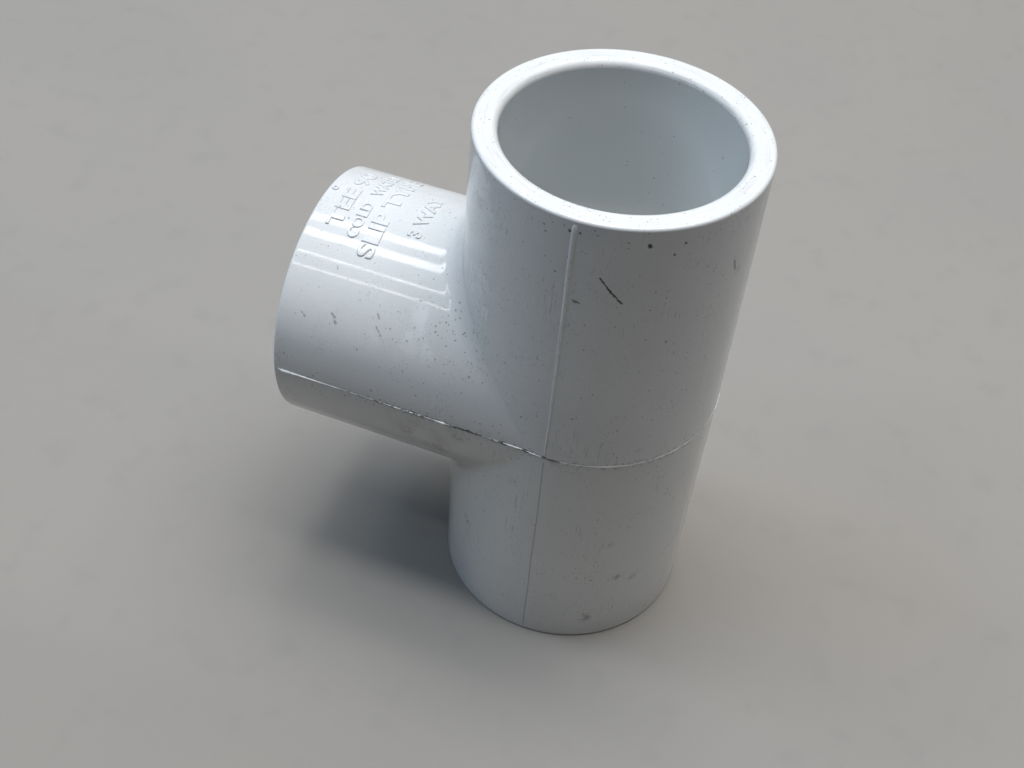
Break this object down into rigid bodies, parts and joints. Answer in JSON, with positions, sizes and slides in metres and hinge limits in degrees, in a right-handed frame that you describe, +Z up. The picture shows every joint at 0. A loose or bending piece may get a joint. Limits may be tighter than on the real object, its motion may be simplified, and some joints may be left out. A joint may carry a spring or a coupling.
{
  "type": "pvc pipe tee",
  "caption": "Straight-bodied white slip tee: an upright run and one square branch, each ending in a plain solvent-weld socket with an inner pipe stop.",
  "frame": {"origin": "under the middle of the bounding box, on the plane of the lower rim", "axes": "+Z up along the run, the branch points along -X, and Y is the tee's thin direction"},
  "size_m": [0.065, 0.0412, 0.0884],
  "materials": {
    "white_pvc": "glossy white rigid PVC, lightly scuffed and specked with dirt"
  },
  "bodies": {
    "root": {"centre_body": "white_pvc", "upper_run_socket": "white_pvc", "lower_run_socket": "white_pvc", "branch_socket": "white_pvc"}
  },
  "joints": []
}
